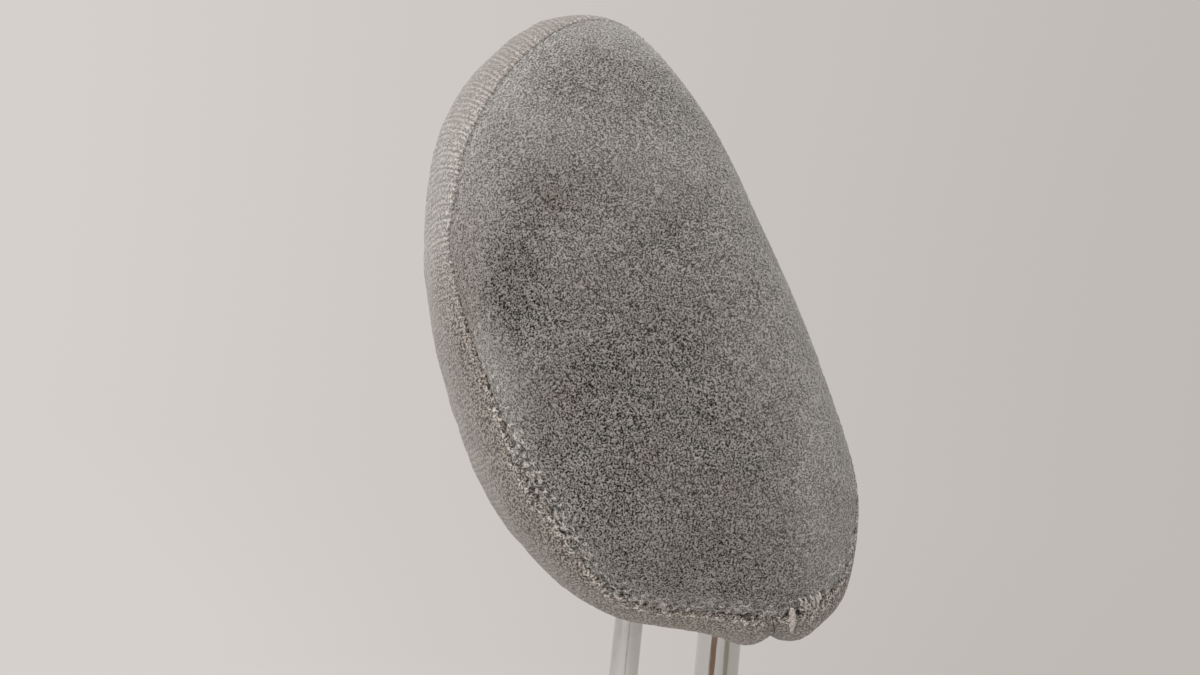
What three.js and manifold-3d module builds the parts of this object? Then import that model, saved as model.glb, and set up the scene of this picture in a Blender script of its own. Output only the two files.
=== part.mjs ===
// A padded car headrest: a foam cushion in a three-panel fabric cover, on a
// chromed stay bent from one bar. Inside the foam two plastic shells clamp round
// the stay's crossbar, so the cushion tilts about it against two friction clips.
//
// Millimetres, +Z up, -Y towards the sitter's head, +X the side the end panel
// cover_side_right faces. The origin is midway between the two post tips.
import * as THREE from 'three';
import { mergeVertices } from 'three/addons/utils/BufferGeometryUtils.js';
import Module from 'manifold-3d';

const wasm = await Module();
wasm.setup();

// Stay: one bar bent to an inverted U
const POST_DIA = 12.7;
const POST_SPACING = 150;
const POST_EXPOSED = 163.4; // from the tips to the cushion's underside
const BEND_R = 28; // to the bar's centreline
const TIP_CHAMFER = 1.2;
const NOTCH_DEPTH = 1.8;
const NOTCH_FLAT = 3;
const NOTCH_RAMP = 4;
const NOTCH_FIRST = 48; // height of the lowest notch above the tip
const NOTCH_PITCH = 20;
const NOTCH_COUNT = 3;

// Cushion: the outline of its middle, as (y, z) from the crossbar's axis
const OUTLINE = [
  [-56, 129.3], [-77.6, 126.8], [-96, 106.6], [-103.3, 80.3], [-98.2, 41.8],
  [-85.5, 9.3], [-68.1, -21.5], [-39.3, -44.9], [-11, -48.3], [14.4, -48.6],
  [28.5, -40.8], [33.4, -12.5], [17.2, 30.1], [-5, 70.4], [-28.7, 106.8],
];
const CENTRE = { y: -33, z: 38 };
const CUSHION_WIDTH = 256;
const END_POWER = 5; // how squarely the ends turn, across and along the width
const SIDE_POWER = 5;

// Cover: where the end panels' seam runs, as a share of the outline's distance
// from the centre, at every 45 degrees from the rear, over the top, to the front
const SEAM_SHARE = [0.87, 0.88, 0.89, 0.803, 0.854, 0.83, 0.874, 0.838];
const COVER_THICK = 4; // velour on its foam backing
const SEAM_GAP = 0.4;
const SEAM_RELIEF = 3.5; // depth of the foam's groove for the seam's turned-in edges
const PIECE_GAP = 0.3;

// Closure under the cushion, where the wrap panel's two ends meet
const CLOSURE_Y = 12.5;
const CLOSURE_GAP = 1.2;
const CLOSURE_DEEP = 30; // past the wrap panel where it turns in to the end panels
const HOOK_THICK = 1.8;
const HOOK_FLANGE = 13;
const HOOK_HEIGHT = 8;
const HOOK_LIFT = 1.2; // for the wrap panel's hem, which the strips are sewn to
const HOOK_END_ROOM = 15; // from a strip's end to a post's slot

// Core: two shells that part on a plane through the crossbar, leaning with the cushion
const CORE_LEAN = 26; // degrees
const CORE_DEPTH = 14; // each shell's, from the parting plane
const CORE_WALL = 2.5;
const CORE_WIDTH = 132;
const CORE_TOP = 88;
const CORE_SHOULDER = 16;
const CORE_FOOT_DROP = 20;
const CORE_CORNER_R = 18;
const CORE_FOOT_ROOM = 3; // from the shells' foot to the start of a bend
const FOAM_ROOM = 0.5; // round the core and the closure strips

// Tilt: degrees either way from the position in which the cushion is drawn
const TILT_BACK = 20;
const TILT_FORWARD = 10;
const SWING_ROOM = 1; // round the stay, in the foam and the cover
const BAR_ROOM = 0.75; // round the crossbar, in the shells

// Bushes, friction clips and stop pin on the crossbar
const BUSH_WALL = 3.75;
const BUSH_LENGTH = 12;
const BUSH_SPLIT = 2;
const BUSH_FLANK = 3;
const BLOCK_HALF = 14; // height of the shells' blocks above and below the crossbar
const CLIP_THICK = 1.5;
const CLIP_INNER = 5; // from the middle plane to a clip
const CLIP_ROOM = 2; // from a clip to the bush's block
const CLIP_EAR = 19;
const CLIP_SLOT = 3.2;
const CLIP_BLOCK = [13, 22];
const CLIP_BLOCK_EDGE = 1;
const PIN_DIA = 4;
const PIN_ROOM = 0.7; // from the pin's end to the rear shell's wall
const PIN_TAIL = 5.5;
const STOP_RIB = 6;

// Screws that join the shells
const SCREW_DIA = 4;
const SCREW_HEAD_DIA = 8;
const SCREW_HEAD_H = 2.6;
const SCREW_EDGE = 12; // from the shell's side to a screw
const SCREW_HEIGHTS = [30, 74];
const SCREW_TIP_WALL = 3.5;
const SCREW_POINT = { long: 2, narrow: 0.8 };
const SCREW_HEAD_ROUND = 1;
const BOSS_DIA = 12;
const RECESS = { long: 4.4, wide: 1, deep: 1.4 };

// Cutting tools run this far past what they cut
const OVERCUT = 1;

// Facets
const ROUND = 24;
const BEND_STEPS = 8;
const OUTLINE_STEPS = 56;
const SIDE_ROWS = 5;
const BAND_ROWS = 4;

const radians = THREE.MathUtils.degToRad;
const barR = POST_DIA / 2;
const postX = POST_SPACING / 2;
const undersideDrop = -Math.min(...OUTLINE.map(([, z]) => z));
const pivotZ = POST_EXPOSED + undersideDrop;
const footHalf = postX - BEND_R - CORE_FOOT_ROOM;
const coreHalf = CORE_WIDTH / 2;
const bushBlockHalf = BUSH_LENGTH / 2 + BUSH_FLANK;
const bushX = footHalf - 2 * CORE_WALL - bushBlockHalf;
const clipEnd = bushX - bushBlockHalf - CLIP_ROOM;
const clipLength = clipEnd - CLIP_INNER;
const clipX = (clipEnd + CLIP_INNER) / 2;
const pinReach = CORE_DEPTH - CORE_WALL - PIN_ROOM;

// A closed surface from rings of points; a ring of one point is a pole
function loft(rings, looped = false) {
  const positions = [];
  const starts = rings.map((ring) => {
    const start = positions.length / 3;
    ring.forEach((p) => positions.push(p.x, p.y, p.z));
    return start;
  });
  const index = [];
  const spans = looped ? rings.length : rings.length - 1;
  for (let k = 0; k < spans; k += 1) {
    const next = (k + 1) % rings.length;
    const count = Math.max(rings[k].length, rings[next].length);
    const at = (ring, i) => starts[ring] + (rings[ring].length > 1 ? i % count : 0);
    for (let i = 0; i < count; i += 1) {
      if (rings[k].length > 1) index.push(at(k, i), at(k, i + 1), at(next, i + 1));
      if (rings[next].length > 1) index.push(at(k, i), at(next, i + 1), at(next, i));
    }
  }
  const geometry = new THREE.BufferGeometry();
  geometry.setAttribute('position', new THREE.Float32BufferAttribute(positions, 3));
  geometry.setIndex(signedVolume(positions, index) < 0 ? index.reverse() : index);
  return geometry;
}

function signedVolume(positions, index) {
  const corner = (i) => new THREE.Vector3().fromArray(positions, 3 * index[i]);
  let six = 0;
  for (let i = 0; i < index.length; i += 3) {
    six += corner(i).dot(corner(i + 1).cross(corner(i + 2)));
  }
  return six / 6;
}

// Solids for cutting and joining, and back
function solid(geometry) {
  const bare = geometry.clone();
  bare.deleteAttribute('normal');
  bare.deleteAttribute('uv');
  const merged = mergeVertices(bare, 1e-4);
  return new wasm.Manifold(new wasm.Mesh({
    numProp: 3,
    vertProperties: new Float32Array(merged.attributes.position.array),
    triVerts: new Uint32Array(merged.index.array),
  }));
}

function surface(body) {
  const { vertProperties, triVerts } = body.getMesh();
  const geometry = new THREE.BufferGeometry();
  geometry.setAttribute('position', new THREE.BufferAttribute(vertProperties, 3));
  geometry.setIndex(new THREE.BufferAttribute(triVerts, 1));
  geometry.computeVertexNormals();
  return geometry;
}

const joined = (bodies) => bodies.reduce((sum, body) => sum.add(body));
const cut = (body, tools) => tools.reduce((rest, tool) => rest.subtract(tool), body);

function box(x, y, z) {
  const geometry = new THREE.BoxGeometry(x[1] - x[0], y[1] - y[0], z[1] - z[0]);
  return solid(geometry.translate((x[0] + x[1]) / 2, (y[0] + y[1]) / 2, (z[0] + z[1]) / 2));
}

function rodX(radius, x) {
  const geometry = new THREE.CylinderGeometry(radius, radius, x[1] - x[0], ROUND);
  return solid(geometry.rotateZ(Math.PI / 2).translate((x[0] + x[1]) / 2, 0, 0));
}

function rodY(radius, y, x = 0, z = 0, sides = ROUND) {
  const geometry = new THREE.CylinderGeometry(radius, radius, y[1] - y[0], sides);
  return solid(geometry.translate(x, (y[0] + y[1]) / 2, z));
}

// A shape drawn in (x, z), carried from one y to another
function slab(shape, y) {
  const geometry = new THREE.ExtrudeGeometry(shape, {
    depth: y[1] - y[0], bevelEnabled: false, curveSegments: 6,
  });
  return solid(geometry.rotateX(Math.PI / 2).translate(0, y[1], 0));
}

// A polygon drawn in (y, z), carried from one x to another
function prism(points, x) {
  const shape = new THREE.Shape(points.map(([y, z]) => new THREE.Vector2(y, z)));
  const geometry = new THREE.ExtrudeGeometry(shape, { depth: x[1] - x[0], bevelEnabled: false });
  const turn = new THREE.Matrix4().makeBasis(
    new THREE.Vector3(0, 1, 0), new THREE.Vector3(0, 0, 1), new THREE.Vector3(1, 0, 0),
  );
  return solid(geometry.applyMatrix4(turn).translate(x[0], 0, 0));
}

// The space that a bar of a given half width sweeps between two directions from
// the crossbar's axis; directions in degrees from +Y towards +Z
function sweepWedge(from, to, half, reach, x) {
  const halfTurn = radians(to - from) / 2;
  const corner = (reach + half * Math.sin(halfTurn)) / Math.cos(halfTurn);
  const ray = (degrees, aside) => {
    const a = radians(degrees);
    const along = (r) => [
      r * Math.cos(a) - aside * Math.sin(a),
      r * Math.sin(a) + aside * Math.cos(a),
    ];
    return [along(0), along(corner)];
  };
  const low = ray(from, -half);
  const high = ray(to, half);
  return prism([low[0], low[1], high[1], high[0]], x);
}

// Cushion surface: the outline carried across the width, drawn in towards the
// centre as a superellipse
const outline = new THREE.CatmullRomCurve3(
  OUTLINE.map(([y, z]) => new THREE.Vector3(0, y, z)), true, 'centripetal',
);
outline.arcLengthDivisions = 600;

function outlineAt(u, inset = 0) {
  const turn = u - Math.floor(u);
  const p = outline.getPointAt(turn);
  const t = outline.getTangentAt(turn);
  return { y: p.y - inset * t.z, z: p.z + inset * t.y };
}

function fromCentre(u) {
  const p = outlineAt(u);
  return { y: p.y - CENTRE.y, z: p.z - CENTRE.z };
}

const angleOfShare = (share) => Math.acos(Math.min(1, share) ** (SIDE_POWER / 2));

// A point of the cushion at outline position u, at an angle across the width
// that is 0 on the middle plane and a quarter turn at the end's pole
function cushionPoint(u, angle, inset) {
  const edge = outlineAt(u, inset);
  const share = Math.abs(Math.cos(angle)) ** (2 / SIDE_POWER);
  const across = Math.sign(angle) * Math.abs(Math.sin(angle)) ** (2 / END_POWER);
  return new THREE.Vector3(
    (CUSHION_WIDTH / 2 - inset) * across,
    CENTRE.y + share * (edge.y - CENTRE.y),
    CENTRE.z + share * (edge.z - CENTRE.z),
  );
}

function seamShare(u) {
  const d = fromCentre(u);
  const step = (Math.atan2(d.z, d.y) / (2 * Math.PI) + 1) * SEAM_SHARE.length;
  const i = Math.floor(step);
  const blend = (1 - Math.cos(Math.PI * (step - i))) / 2;
  const at = (k) => SEAM_SHARE[k % SEAM_SHARE.length];
  return at(i) * (1 - blend) + at(i + 1) * blend;
}

// The rows of angles across the width at u: the wrap panel's and the end panel's
function bandAngles(u) {
  const room = SEAM_GAP / 2 / Math.hypot(fromCentre(u).y, fromCentre(u).z);
  const last = angleOfShare(seamShare(u) + room);
  const rows = [];
  for (let k = -BAND_ROWS; k <= BAND_ROWS; k += 1) rows.push((last * k) / BAND_ROWS);
  return rows;
}

function sideAngles(u) {
  const room = SEAM_GAP / 2 / Math.hypot(fromCentre(u).y, fromCentre(u).z);
  const rows = [];
  for (let k = 0; k < SIDE_ROWS; k += 1) {
    rows.push(angleOfShare((seamShare(u) - room) * (1 - k / SIDE_ROWS)));
  }
  return rows;
}

function ringOf(angleAt, inset) {
  const ring = [];
  for (let i = 0; i < OUTLINE_STEPS; i += 1) {
    const u = i / OUTLINE_STEPS;
    ring.push(cushionPoint(u, angleAt(u), inset));
  }
  return ring;
}

function sideRings(inset, side, seamInset = inset) {
  const rings = [];
  for (let k = 0; k < SIDE_ROWS; k += 1) {
    rings.push(ringOf((u) => side * sideAngles(u)[k], k === 0 ? seamInset : inset));
  }
  rings.push([cushionPoint(0, (side * Math.PI) / 2, inset)]);
  return rings;
}

function bandRings(inset, seamInset = inset) {
  const rings = [];
  for (let k = 0; k <= 2 * BAND_ROWS; k += 1) {
    const atSeam = k === 0 || k === 2 * BAND_ROWS;
    rings.push(ringOf((u) => bandAngles(u)[k], atSeam ? seamInset : inset));
  }
  return rings;
}

// The outline position under the cushion where the wrap panel's ends meet, and a
// point at a distance along the outline from there and inwards from the cover
const outlineLength = outline.getLength();
const closureU = (() => {
  let best = 0;
  for (let i = 0; i < 2000; i += 1) {
    const p = outlineAt(i / 2000);
    const b = outlineAt(best);
    const nearer = Math.abs(p.y - CLOSURE_Y) < Math.abs(b.y - CLOSURE_Y);
    if (p.z < 0 && (b.z >= 0 || nearer)) best = i / 2000;
  }
  return best;
})();

function atClosure(along, inwards) {
  const p = outlineAt(closureU + along / outlineLength, inwards);
  return [p.y, p.z];
}

function closureOutline(points) {
  const dense = [];
  points.forEach(([along, inwards], i) => {
    const [nextAlong, nextInwards] = points[(i + 1) % points.length];
    const steps = Math.max(1, Math.round(Math.abs(nextAlong - along) / 4));
    for (let k = 0; k < steps; k += 1) {
      const f = k / steps;
      dense.push(atClosure(along + f * (nextAlong - along), inwards + f * (nextInwards - inwards)));
    }
  });
  return dense;
}

// The stay's bar as rings along its centreline, tip to tip
function stayBar() {
  const rings = [];
  const ring = (x, z, heading, radius) => {
    const points = [];
    for (let i = 0; i < ROUND; i += 1) {
      const a = (2 * Math.PI * i) / ROUND;
      const aside = radius * Math.cos(a);
      points.push(new THREE.Vector3(
        x - aside * Math.sin(heading), radius * Math.sin(a), z + aside * Math.cos(heading),
      ));
    }
    rings.push(points);
  };
  const half = (side) => {
    const start = rings.length;
    rings.push([new THREE.Vector3(side * postX, 0, 0)]);
    ring(side * postX, 0, Math.PI / 2, barR - TIP_CHAMFER);
    ring(side * postX, TIP_CHAMFER, Math.PI / 2, barR);
    for (let k = 0; k <= BEND_STEPS; k += 1) {
      const a = (Math.PI / 2) * (k / BEND_STEPS);
      ring(
        side * (postX - BEND_R + BEND_R * Math.cos(a)),
        pivotZ - BEND_R + BEND_R * Math.sin(a),
        side > 0 ? Math.PI / 2 + a : Math.PI / 2 - a,
        barR,
      );
    }
    return rings.splice(start);
  };
  const left = half(-1);
  const right = half(1).reverse();
  const unturned = right.map((points) => {
    if (points.length === 1) return points;
    return points.map((_, i) => points[(ROUND / 2 - i + ROUND) % ROUND]);
  });
  return loft([...left, ...unturned]);
}

function notch(side, height) {
  const inner = side * (postX + barR - NOTCH_DEPTH);
  const outer = side * (postX + barR + OVERCUT);
  const shape = new THREE.Shape([
    new THREE.Vector2(inner, height),
    new THREE.Vector2(outer, height),
    new THREE.Vector2(outer, height + NOTCH_FLAT + NOTCH_RAMP),
    new THREE.Vector2(side * (postX + barR), height + NOTCH_FLAT + NOTCH_RAMP),
    new THREE.Vector2(inner, height + NOTCH_FLAT),
  ]);
  return slab(shape, [-POST_DIA, POST_DIA]);
}

function makeStay() {
  const cuts = [];
  for (let k = 0; k < NOTCH_COUNT; k += 1) {
    const height = NOTCH_FIRST + k * NOTCH_PITCH;
    cuts.push(notch(-1, height), notch(1, height));
  }
  const pinHole = rodY(PIN_DIA / 2 + PIECE_GAP, [-POST_DIA, POST_DIA]);
  cuts.push(pinHole.rotate([CORE_LEAN, 0, 0]).translate([0, 0, pivotZ]));
  return surface(cut(solid(stayBar()), cuts));
}

// The rest is drawn about the crossbar's axis, and the core's pieces upright
const cushion = new THREE.Group();
cushion.position.z = pivotZ;
const core = new THREE.Group();
core.rotation.x = radians(CORE_LEAN);
cushion.add(core);

function coreShape(grow) {
  const foot = footHalf + grow;
  const half = coreHalf + grow;
  const bottom = -CORE_FOOT_DROP - grow;
  const shoulder = CORE_SHOULDER - grow;
  const top = CORE_TOP + grow;
  const r = CORE_CORNER_R + grow;
  const shape = new THREE.Shape();
  shape.moveTo(-foot, bottom);
  shape.lineTo(foot, bottom);
  shape.lineTo(foot, shoulder);
  shape.lineTo(half, shoulder);
  shape.absarc(half - r, top - r, r, 0, Math.PI / 2, false);
  shape.absarc(-half + r, top - r, r, Math.PI / 2, Math.PI, false);
  shape.lineTo(-half, shoulder);
  shape.lineTo(-foot, shoulder);
  shape.closePath();
  return shape;
}

const screwPlaces = SCREW_HEIGHTS.flatMap((z) => [-1, 1].map((side) => (
  { x: side * (coreHalf - SCREW_EDGE), z }
)));

// One shell: side 1 is the rear one, with the screw heads and the tilt stop
function makeShell(side) {
  const parting = PIECE_GAP / 2;
  const span = (from, to) => (side > 0 ? [from, to] : [-to, -from]);
  const height = [-BLOCK_HALF, BLOCK_HALF];
  const tray = slab(coreShape(0), span(parting, CORE_DEPTH))
    .subtract(slab(coreShape(-CORE_WALL), span(-OVERCUT, CORE_DEPTH - CORE_WALL)));
  const rooted = CORE_DEPTH - CORE_WALL / 2;
  const inside = span(parting, rooted);

  const earHalf = CLIP_SLOT / 2 + CLIP_THICK + PIECE_GAP;
  const clipBlockHalf = clipLength / 2 + CLIP_BLOCK_EDGE;
  const blocks = [-1, 1].flatMap((end) => [
    box([end * bushX - bushBlockHalf, end * bushX + bushBlockHalf], inside, height),
    box(
      [end * clipX - clipBlockHalf, end * clipX + clipBlockHalf],
      span(earHalf, rooted),
      CLIP_BLOCK,
    ),
  ]);
  const bosses = screwPlaces.map(({ x, z }) => rodY(BOSS_DIA / 2, inside, x, z));

  const beyond = footHalf + CORE_WALL;
  const seatHalf = BUSH_LENGTH / 2 + PIECE_GAP;
  const seatR = barR + PIECE_GAP + BUSH_WALL + PIECE_GAP;
  const bores = [
    rodX(barR + BAR_ROOM, [-beyond, beyond]),
    ...[-1, 1].map((end) => rodX(seatR, [end * bushX - seatHalf, end * bushX + seatHalf])),
  ];
  const holeR = SCREW_DIA / 2 + PIECE_GAP;
  const headR = SCREW_HEAD_DIA / 2 + PIECE_GAP;
  const headSeat = CORE_DEPTH - SCREW_HEAD_H - 2 * PIECE_GAP;
  screwPlaces.forEach(({ x, z }) => {
    if (side > 0) {
      bores.push(rodY(holeR, [-OVERCUT, CORE_DEPTH + OVERCUT], x, z));
      bores.push(rodY(headR, [headSeat, CORE_DEPTH + OVERCUT], x, z));
    } else {
      bores.push(rodY(holeR, [-CORE_DEPTH + SCREW_TIP_WALL - PIECE_GAP, OVERCUT], x, z));
    }
  });
  const shell = cut(joined([tray, ...blocks, ...bosses]), bores);
  if (side < 0) return surface(shell);

  // The stay turns the other way as the cushion sees it, and its pin with it
  const window = sweepWedge(
    -TILT_FORWARD, TILT_BACK, PIN_DIA / 2 + PIECE_GAP, pinReach + PIECE_GAP, [-STOP_RIB, STOP_RIB],
  );
  const rib = cut(box([-STOP_RIB / 2, STOP_RIB / 2], inside, height), [
    rodX(barR + BAR_ROOM, [-STOP_RIB, STOP_RIB]), window,
  ]);
  return surface(shell.add(rib));
}

function makeScrew() {
  const headTop = CORE_DEPTH - PIECE_GAP;
  const tip = -CORE_DEPTH + SCREW_TIP_WALL;
  const r = SCREW_DIA / 2;
  const headR = SCREW_HEAD_DIA / 2;
  const profile = [
    [0, tip], [r - SCREW_POINT.narrow, tip],
    [r, tip + SCREW_POINT.long], [r, headTop - SCREW_HEAD_H],
    [headR, headTop - SCREW_HEAD_H], [headR, headTop - SCREW_HEAD_ROUND],
    [headR - SCREW_HEAD_ROUND, headTop], [0, headTop],
  ].map(([x, y]) => new THREE.Vector2(x, y));
  const body = solid(new THREE.LatheGeometry(profile, 16));
  const long = RECESS.long / 2;
  const wide = RECESS.wide / 2;
  const depth = [headTop - RECESS.deep, headTop + OVERCUT];
  return surface(cut(body, [
    box([-long, long], depth, [-wide, wide]), box([-wide, wide], depth, [-long, long]),
  ]));
}

function makeBush() {
  const length = [-BUSH_LENGTH / 2, BUSH_LENGTH / 2];
  const outerR = barR + PIECE_GAP + BUSH_WALL;
  const ring = rodX(outerR, length);
  const through = [length[0] - OVERCUT, length[1] + OVERCUT];
  return surface(cut(ring, [
    rodX(barR + PIECE_GAP, through),
    box(through, [-outerR - OVERCUT, 0], [-BUSH_SPLIT / 2, BUSH_SPLIT / 2]),
  ]));
}

function makeClip() {
  const length = [-clipLength / 2, clipLength / 2];
  const slot = CLIP_SLOT / 2;
  const ears = box(length, [-slot - CLIP_THICK, slot + CLIP_THICK], [0, CLIP_EAR]);
  const through = [length[0] - OVERCUT, length[1] + OVERCUT];
  return surface(cut(rodX(barR + PIECE_GAP + CLIP_THICK, length).add(ears), [
    rodX(barR + PIECE_GAP, through), box(through, [-slot, slot], [0, CLIP_EAR + OVERCUT]),
  ]));
}

function makeStopPin() {
  return surface(rodY(PIN_DIA / 2, [-PIN_TAIL, pinReach], 0, 0, 16));
}

// The space the stay needs in the cushion over the whole tilt
function stayRoom() {
  const half = barR + SWING_ROOM;
  const inner = postX - BEND_R - OVERCUT;
  const outer = postX + half;
  const down = -90;
  const deep = 2 * undersideDrop;
  const swing = (from, to, reach) => (
    sweepWedge(down - TILT_FORWARD, down + TILT_BACK, half, reach, [from, to])
  );
  return joined([
    rodX(half, [-outer, outer]),
    ...[[-outer, -inner], [inner, outer]].map(([from, to]) => swing(from, to, BEND_R + half)),
    ...[[-outer, -postX + half], [postX - half, outer]].map(([from, to]) => swing(from, to, deep)),
  ]);
}

const hookHalf = postX - barR - SWING_ROOM - HOOK_END_ROOM;
const hookBase = COVER_THICK + HOOK_LIFT;

function makeFoam() {
  const inset = COVER_THICK + PIECE_GAP;
  const seamInset = inset + SEAM_RELIEF;
  const body = solid(loft([
    ...sideRings(inset, -1, seamInset).reverse(),
    ...bandRings(inset, seamInset),
    ...sideRings(inset, 1, seamInset),
  ]));
  const cavity = slab(coreShape(FOAM_ROOM), [-CORE_DEPTH - FOAM_ROOM, CORE_DEPTH + FOAM_ROOM])
    .rotate([CORE_LEAN, 0, 0]);
  const reach = HOOK_FLANGE + FOAM_ROOM;
  const pocket = prism(closureOutline([
    [-reach, -inset], [reach, -inset],
    [reach, hookBase + HOOK_HEIGHT + FOAM_ROOM], [-reach, hookBase + HOOK_HEIGHT + FOAM_ROOM],
  ]), [-hookHalf - FOAM_ROOM, hookHalf + FOAM_ROOM]);
  return surface(cut(body, [cavity, stayRoom(), pocket]));
}

function makeBand() {
  const shell = solid(loft([...bandRings(0), ...bandRings(COVER_THICK).reverse()], true));
  const beyond = CUSHION_WIDTH / 2;
  const half = CLOSURE_GAP / 2;
  const [near, far] = [-OVERCUT, CLOSURE_DEEP].map((inwards) => atClosure(0, inwards));
  const length = Math.hypot(far[0] - near[0], far[1] - near[1]);
  const [dy, dz] = [(far[1] - near[1]) * half / length, (near[0] - far[0]) * half / length];
  const slit = prism([
    [near[0] - dy, near[1] - dz], [near[0] + dy, near[1] + dz],
    [far[0] + dy, far[1] + dz], [far[0] - dy, far[1] - dz],
  ], [-beyond, beyond]);
  return surface(cut(shell, [slit, stayRoom()]));
}

function makeSide(side) {
  return loft([...sideRings(0, side).reverse(), ...sideRings(COVER_THICK, side)]);
}

// The two strips, drawn along the outline and inwards from the wrap panel: the
// front one reaches over the gap and down behind the rear one's upturned edge
function makeHook(points) {
  const profile = closureOutline(points.map(([along, inwards]) => [along, hookBase + inwards]));
  return surface(prism(profile, [-hookHalf, hookHalf]));
}

const frontHook = (() => {
  const lipEnd = HOOK_THICK + 2 * PIECE_GAP + HOOK_THICK;
  const start = -PIECE_GAP;
  return [
    [-HOOK_FLANGE, 0], [start, 0], [start, HOOK_HEIGHT - HOOK_THICK],
    [lipEnd - HOOK_THICK, HOOK_HEIGHT - HOOK_THICK], [lipEnd - HOOK_THICK, 2 * HOOK_THICK],
    [lipEnd, 2 * HOOK_THICK], [lipEnd, HOOK_HEIGHT],
    [start - HOOK_THICK, HOOK_HEIGHT], [start - HOOK_THICK, HOOK_THICK],
    [-HOOK_FLANGE, HOOK_THICK],
  ];
})();
const rearHook = [
  [PIECE_GAP, 0], [HOOK_FLANGE, 0], [HOOK_FLANGE, HOOK_THICK],
  [PIECE_GAP + HOOK_THICK, HOOK_THICK],
  [PIECE_GAP + HOOK_THICK, HOOK_HEIGHT - HOOK_THICK - PIECE_GAP],
  [PIECE_GAP, HOOK_HEIGHT - HOOK_THICK - PIECE_GAP],
];

// Finishes
const finish = (color, roughness, metalness) => (
  new THREE.MeshStandardMaterial({ color, roughness, metalness })
);
const chrome = finish(0xc8c8c6, 0.12, 1);
const springSteel = finish(0x6f7376, 0.4, 1);
const zincSteel = finish(0x9a9c9b, 0.45, 1);
const blackPlastic = finish(0x2b2b2c, 0.6, 0);
const palePlastic = finish(0xd8d5cb, 0.5, 0);
const foam = finish(0xd9c98f, 0.95, 0);
const bandVelour = finish(0x8d8782, 0.95, 0);
const endVelour = finish(0x7c7a78, 0.95, 0);

function add(parent, name, geometry, material, x = 0, z = 0) {
  const mesh = new THREE.Mesh(geometry, material);
  mesh.name = name;
  mesh.position.set(x, 0, z);
  parent.add(mesh);
}

const headrest = new THREE.Group();
headrest.add(cushion);

add(headrest, 'stay', makeStay(), chrome);
add(core, 'stop_pin', makeStopPin(), zincSteel);
add(core, 'core_front', makeShell(-1), blackPlastic);
add(core, 'core_rear', makeShell(1), blackPlastic);
screwPlaces.forEach(({ x, z }, i) => {
  add(core, `core_screw_${i + 1}`, makeScrew(), zincSteel, x, z);
});
[['left', -1], ['right', 1]].forEach(([name, side]) => {
  add(core, `pivot_bush_${name}`, makeBush(), palePlastic, side * bushX);
  add(core, `friction_clip_${name}`, makeClip(), springSteel, side * clipX);
});
add(cushion, 'foam_pad', makeFoam(), foam);
add(cushion, 'cover_band', makeBand(), bandVelour);
add(cushion, 'cover_side_left', makeSide(-1), endVelour);
add(cushion, 'cover_side_right', makeSide(1), endVelour);
add(cushion, 'closure_strip_front', makeHook(frontHook), palePlastic);
add(cushion, 'closure_strip_rear', makeHook(rearHook), palePlastic);

export default headrest;
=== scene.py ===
"""A padded car headrest: an egg-shaped cushion in grey velour on a chromed stay.

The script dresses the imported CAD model. Shapes are worked out in millimetres,
+Z up and -Y towards the sitter's head, and become metres in the meshes.
"""
import math

import bpy
import numpy as np
from mathutils import Matrix


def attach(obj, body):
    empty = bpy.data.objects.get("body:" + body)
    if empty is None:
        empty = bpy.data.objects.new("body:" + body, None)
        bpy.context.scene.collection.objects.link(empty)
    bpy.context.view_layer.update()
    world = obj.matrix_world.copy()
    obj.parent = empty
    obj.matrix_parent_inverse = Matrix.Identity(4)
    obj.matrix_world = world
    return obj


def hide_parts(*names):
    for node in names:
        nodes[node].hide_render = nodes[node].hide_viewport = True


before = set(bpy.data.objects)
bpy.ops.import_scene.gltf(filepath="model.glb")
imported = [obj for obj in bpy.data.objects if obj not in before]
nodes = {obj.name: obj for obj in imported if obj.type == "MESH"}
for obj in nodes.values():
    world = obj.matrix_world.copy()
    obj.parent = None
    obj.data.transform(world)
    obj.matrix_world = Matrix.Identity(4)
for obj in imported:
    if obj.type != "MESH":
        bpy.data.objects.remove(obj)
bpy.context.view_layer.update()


# Camera: level with the cushion's lower half and near its +X end, looking
# slightly up and a little across, with a slight roll.
camera_place = np.array([355.97, -78.76, 207.04])
heading, rise, roll = (math.radians(a) for a in (173.177, 8.144, 6.390))
ahead = np.array([
    math.cos(rise) * math.cos(heading), math.cos(rise) * math.sin(heading), math.sin(rise),
])
level = np.cross(ahead, (0, 0, 1))
level /= np.linalg.norm(level)
above = np.cross(level, ahead)
right = math.cos(roll) * level + math.sin(roll) * above
upward = -math.sin(roll) * level + math.cos(roll) * above


def put_object(name, data, axes, place):
    """A camera or lamp at a place in metres, its own X, Y and Z along three axes."""
    made = bpy.data.objects.new(name, data)
    rows = [(*(axis[k] for axis in axes), place[k]) for k in range(3)]
    made.matrix_world = Matrix(rows + [(0, 0, 0, 1)])
    bpy.context.scene.collection.objects.link(made)
    return made


camera_data = bpy.data.cameras.new("camera")
camera_data.lens = 28.404
camera_data.sensor_width = 36
camera_data.clip_start = 0.01
camera = put_object("camera", camera_data, (right, upward, -ahead), camera_place / 1000)
bpy.context.scene.camera = camera


# Stay: one 12.7 mm steel bar bent to an inverted U, chamfered at both tips,
# with three ramped notches pressed in each post's outer side, then chromed.
bar_radius = 12.7 / 2
post_x = 75.0
bend_radius = 28.0
crossbar_z = 212.0
notch_heights = np.array([48.0, 68.0, 88.0])
notch_depth, notch_flat, notch_ramp = 1.8, 3.0, 4.0
# The chamfer at each tip, softened at both its edges: heights, and the radius there
tip_heights = np.array([0, 0.12, 0.3, 1.0, 1.25, 1.6])
tip_radii = np.array([5.0, 5.18, 5.38, 6.1, 6.29, bar_radius])


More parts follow.
